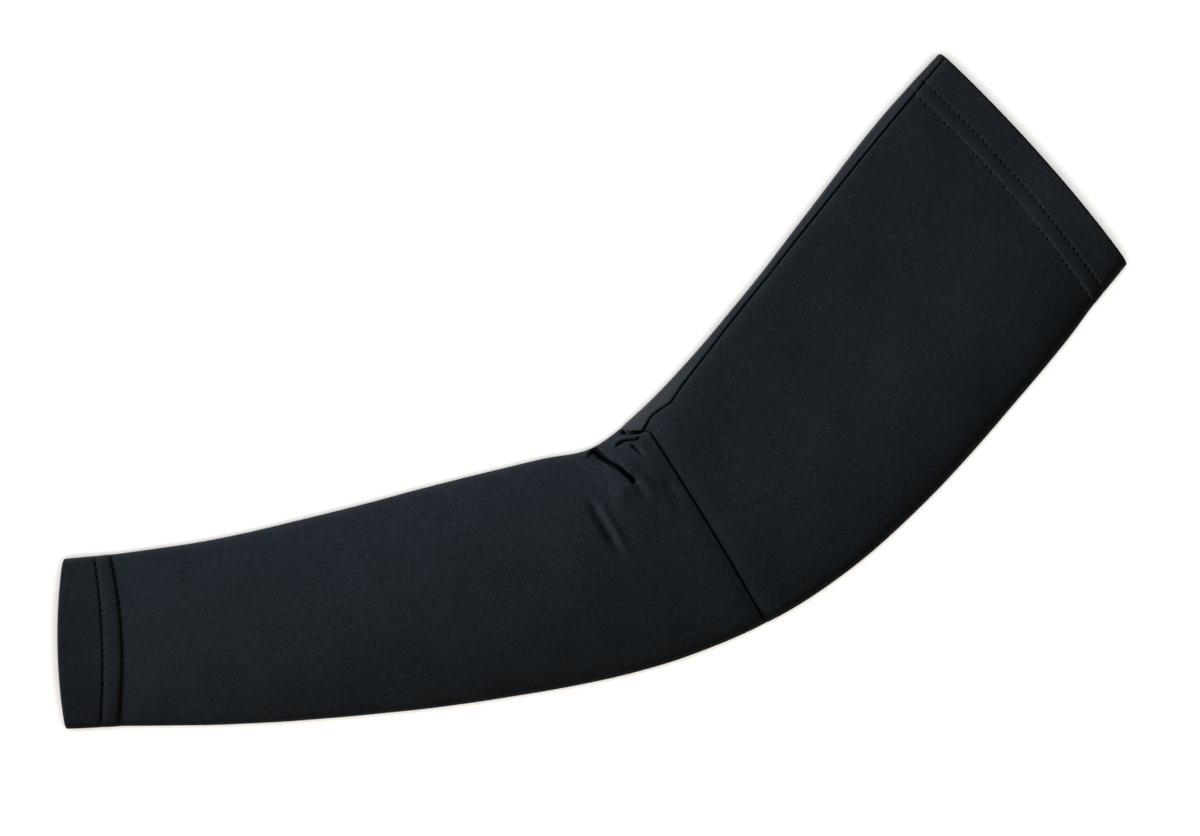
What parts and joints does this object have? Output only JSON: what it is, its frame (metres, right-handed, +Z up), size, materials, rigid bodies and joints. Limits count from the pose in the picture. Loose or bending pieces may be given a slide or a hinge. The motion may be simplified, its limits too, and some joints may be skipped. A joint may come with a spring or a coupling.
{
  "type": "fleece arm warmer",
  "caption": "Pre-bent fleece-backed knit arm warmer: a tapered open-ended sleeve with a slanting elbow seam, bunched crook and stitched hems at wrist and upper arm.",
  "frame": {"origin": "under the middle of the sleeve's box, on the surface that it lies on", "axes": "+X from the wrist towards the upper arm, +Y towards the crook of the elbow, +Z up from the surface"},
  "size_m": [0.479, 0.1776, 0.02],
  "materials": {
    "fleece_knit": "matte fleece-backed stretch knit, charcoal black",
    "hem_knit": "matte doubled knit with stitching, charcoal black"
  },
  "bodies": {
    "root": {"wrist_hem": "hem_knit", "forearm_panel": "fleece_knit", "upper_arm_panel": "fleece_knit", "upper_hem": "hem_knit"}
  },
  "joints": []
}
